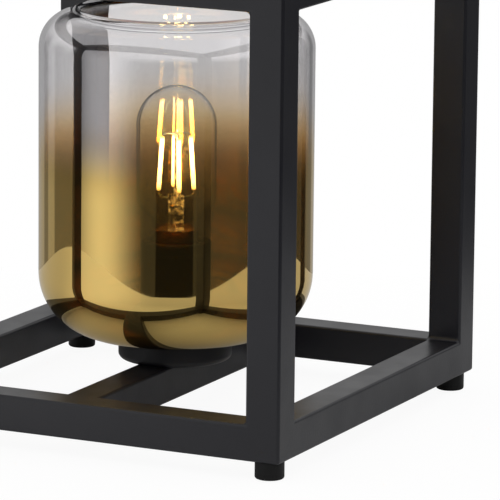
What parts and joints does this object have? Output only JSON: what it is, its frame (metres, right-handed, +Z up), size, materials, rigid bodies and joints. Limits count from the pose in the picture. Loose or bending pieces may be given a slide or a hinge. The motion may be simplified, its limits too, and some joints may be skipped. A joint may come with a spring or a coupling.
{
  "type": "lantern table lamp",
  "caption": "Table lamp: an open square cage of black steel tube around a gold-mirrored glass jar that holds a tubular filament bulb.",
  "frame": {"origin": "on the table under the middle of the cage", "axes": "+Z up, +X along the front bottom rail to the right, +Y away from the viewer"},
  "size_m": [0.26, 0.26, 0.27],
  "materials": {
    "cage_coat": "matt black powder coat",
    "cup_coat": "matt black powder coat",
    "foot_rubber": "moulded",
    "gasket_rubber": "soft",
    "jar_glass": "gold mirror below, fading to clear smoke above",
    "holder_plastic": "moulded",
    "core_ceramic": "unglazed white ceramic",
    "contact_brass": "stamped",
    "cap_brass": "polished",
    "bulb_glass": "clear",
    "stem_glass": "clear",
    "cap_insulator": "black moulded glass",
    "filament_glow": "lit, warm white",
    "zinc_steel": "zinc plated"
  },
  "bodies": {
    "lamp": {"post_front_left": "cage_coat", "post_front_right": "cage_coat", "post_back_left": "cage_coat", "post_back_right": "cage_coat", "bottom_rail_front": "cage_coat", "bottom_rail_back": "cage_coat", "bottom_rail_left": "cage_coat", "bottom_rail_right": "cage_coat", "top_rail_front": "cage_coat", "top_rail_back": "cage_coat", "top_rail_left": "cage_coat", "top_rail_right": "cage_coat", "crossbar": "cage_coat", "foot_front_left": "foot_rubber", "foot_front_right": "foot_rubber", "foot_back_left": "foot_rubber", "foot_back_right": "foot_rubber", "foot_screws": "zinc_steel", "lead_bush": "holder_plastic", "bar_nut": "zinc_steel", "threaded_tube": "zinc_steel", "lock_washer": "zinc_steel", "lock_nut": "zinc_steel", "seat_cup": "cup_coat", "jar_gasket": "gasket_rubber", "glass_jar": "jar_glass", "ring_gasket": "gasket_rubber", "holder_base": "holder_plastic", "holder_sleeve": "holder_plastic", "holder_core": "core_ceramic", "screw_shell": "contact_brass", "centre_contact": "contact_brass", "terminals": "contact_brass", "terminal_screws": "zinc_steel"},
    "bulb_end": {"bulb_tip": "zinc_steel", "bulb_insulator": "cap_insulator"},
    "bulb": {"bulb_glass": "bulb_glass", "bulb_cap": "cap_brass", "bulb_stem": "stem_glass", "filament_rods": "filament_glow", "filament_wires": "zinc_steel"},
    "ring": {"clamping_ring": "holder_plastic"}
  },
  "joints": [
    {"name": "bulb_rise", "type": "slide", "parent": "lamp", "child": "bulb_end", "axis": [0, 0, 1], "range_m": [0, 0.0108]},
    {"name": "bulb_turn", "type": "hinge", "parent": "bulb_end", "child": "bulb", "pos_m": [0.003, 0, 0.0906], "axis": [0, 0, 1], "range_deg": [0, 1079]},
    {"name": "ring_turn", "type": "hinge", "parent": "lamp", "child": "ring", "pos_m": [0.003, 0, 0.053], "axis": [0, 0, 1], "range_deg": [0, 900]}
  ],
  "couplings": [
    {"joint": "bulb_rise", "follows": "bulb_turn", "m_per_rad": 0.00057296}
  ]
}
